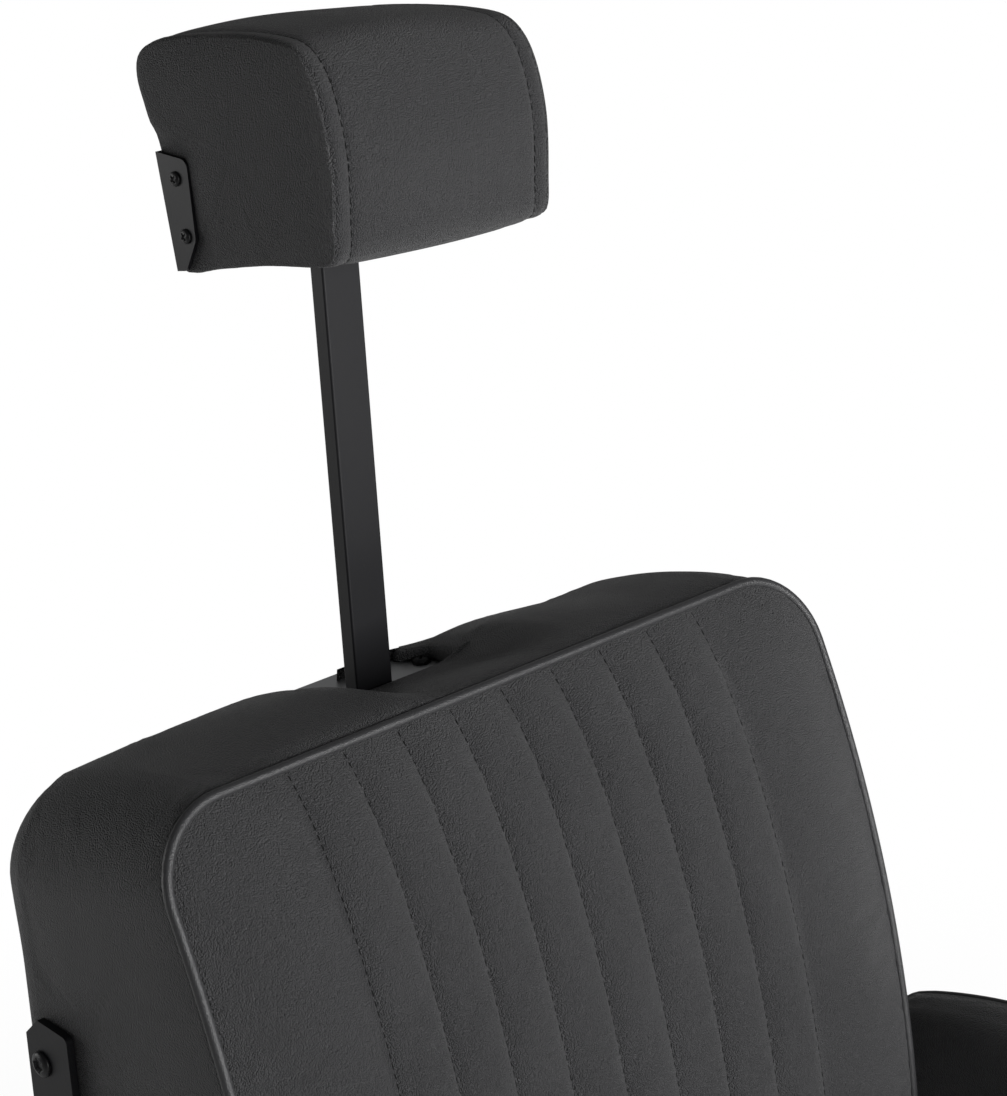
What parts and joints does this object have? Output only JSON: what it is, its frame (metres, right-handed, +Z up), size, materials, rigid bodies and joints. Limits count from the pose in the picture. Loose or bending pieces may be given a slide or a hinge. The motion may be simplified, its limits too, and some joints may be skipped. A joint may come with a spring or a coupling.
{
  "type": "hydraulic barber chair",
  "caption": "Barber chair with a round base, hydraulic lift column, swivelling padded seat and arms, a reclining channelled back, a sliding tilting headrest and a swinging leg rest",
  "frame": {"origin": "centre of the base's underside, on the floor under the column", "axes": "+Z up, the seated person faces -Y, +X to that person's left"},
  "size_m": [0.7045, 1.0225, 1.3812],
  "materials": {
    "black_vinyl": "fine grain upholstery vinyl, low sheen",
    "piping_vinyl": "smooth vinyl piping, satin",
    "black_paint": "satin black powder coat",
    "chrome_plate": "polished plating",
    "bare_steel": "ground",
    "grey_steel": "plain zinc grey",
    "black_fasteners": "black oxide",
    "chrome_lever": "polished plating",
    "black_rubber": "matte",
    "cast_aluminium": "cast, lightly polished",
    "plywood": "bare birch ply",
    "panel_board": "vinyl covered board"
  },
  "bodies": {
    "base": {"base_plate": "black_paint", "base_rim": "black_rubber", "base_dome": "chrome_plate", "dome_collar": "chrome_plate", "pump_housing": "chrome_plate", "flange_bolts": "black_fasteners", "gland_cap": "chrome_plate", "pump_block": "black_paint", "pedal_pin": "bare_steel"},
    "pedal": {"pedal_arm": "chrome_lever", "pedal_pad": "black_rubber"},
    "plunger": {"pump_plunger": "bare_steel"},
    "lift_ram": {"ram": "chrome_plate"},
    "seat": {"seat_socket": "black_paint", "socket_bolts": "black_fasteners", "column_shroud": "chrome_plate", "seat_rail_left": "black_paint", "seat_rail_right": "black_paint", "seat_cross_front": "black_paint", "seat_cross_rear": "black_paint", "seat_board": "plywood", "seat_cushion": "black_vinyl", "seat_piping": "piping_vinyl", "arm_left": "black_vinyl", "arm_right": "black_vinyl", "arm_piping": "piping_vinyl", "arm_spacers": "black_fasteners", "arm_bolts": "black_fasteners", "recline_lug_left": "black_paint", "recline_lug_right": "black_paint", "recline_pins": "black_fasteners", "gas_cylinder": "black_paint", "gas_front_pin": "bare_steel", "legrest_pins": "bare_steel"},
    "release_lever": {"recline_lever": "chrome_lever", "lever_grip": "black_rubber"},
    "gas_spring_rod": {"gas_rod": "bare_steel"},
    "back": {"back_bracket_left": "black_paint", "back_bracket_right": "black_paint", "bracket_bolts": "black_fasteners", "back_crossbar": "black_paint", "gas_pin": "bare_steel", "back_cushion": "black_vinyl", "back_piping": "piping_vinyl", "rear_panel": "panel_board", "rear_panel_screws": "black_fasteners", "headrest_sleeve": "grey_steel", "top_plate": "grey_steel", "plate_screws": "black_fasteners"},
    "headrest_post": {"headrest_bar": "black_paint", "headrest_pin": "bare_steel"},
    "headrest": {"headrest_bracket": "black_paint", "headrest_cushion": "black_vinyl", "headrest_screws": "black_fasteners"},
    "leg_rest": {"legrest_bar_left": "black_paint", "legrest_bar_right": "black_paint", "legrest_tie": "black_paint", "calf_pad": "black_vinyl", "footplate_pins": "bare_steel"},
    "foot_rest": {"footplate": "cast_aluminium"}
  },
  "joints": [
    {"name": "seat_lift", "type": "slide", "parent": "base", "child": "lift_ram", "axis": [0, 0, 1], "range_m": [0, 0.15]},
    {"name": "seat_swivel", "type": "hinge", "parent": "lift_ram", "child": "seat", "pos_m": [0, 0, 0.32], "axis": [0, 0, 1], "continuous": true},
    {"name": "pedal_stroke", "type": "hinge", "parent": "base", "child": "pedal", "pos_m": [0, 0.064, 0.122], "axis": [1, 0, 0], "range_deg": [-12, 0], "stiffness_Nm_per_rad": 40, "springref_deg": 5.73},
    {"name": "plunger_stroke", "type": "slide", "parent": "base", "child": "plunger", "axis": [0, 0, -1], "range_m": [0, 0.007]},
    {"name": "back_recline", "type": "hinge", "parent": "seat", "child": "back", "pos_m": [0, 0.215, 0.44], "axis": [-1, 0, 0], "range_deg": [0, 50]},
    {"name": "gas_spring_stroke", "type": "slide", "parent": "seat", "child": "gas_spring_rod", "axis": [0, -1, 0], "range_m": [0, 0.08671]},
    {"name": "release_lever_lift", "type": "hinge", "parent": "seat", "child": "release_lever", "pos_m": [-0.2, -0.185, 0.322], "axis": [-1, 0, 0], "range_deg": [0, 20], "stiffness_Nm_per_rad": 8, "springref_deg": -11.46},
    {"name": "leg_rest_lift", "type": "hinge", "parent": "seat", "child": "leg_rest", "pos_m": [0, -0.256, 0.368], "axis": [-1, 0, 0], "range_deg": [0, 46]},
    {"name": "footplate_fold", "type": "hinge", "parent": "leg_rest", "child": "foot_rest", "pos_m": [0, -0.36582, 0.12134], "axis": [-1, 0, 0], "range_deg": [0, 55]},
    {"name": "headrest_height", "type": "slide", "parent": "back", "child": "headrest_post", "axis": [0, 0.0906, 0.9959], "range_m": [-0.19, 0.03]},
    {"name": "headrest_tilt", "type": "hinge", "parent": "headrest_post", "child": "headrest", "pos_m": [0, 0.42202, 1.27469], "axis": [-1, 0, 0], "range_deg": [-15, 20]}
  ],
  "couplings": [
    {"joint": "plunger_stroke", "follows": "pedal_stroke", "m_per_rad": -0.0315},
    {"joint": "gas_spring_stroke", "follows": "back_recline", "m_per_rad": 0.09879},
    {"joint": "leg_rest_lift", "follows": "back_recline", "ratio": 0.9}
  ]
}
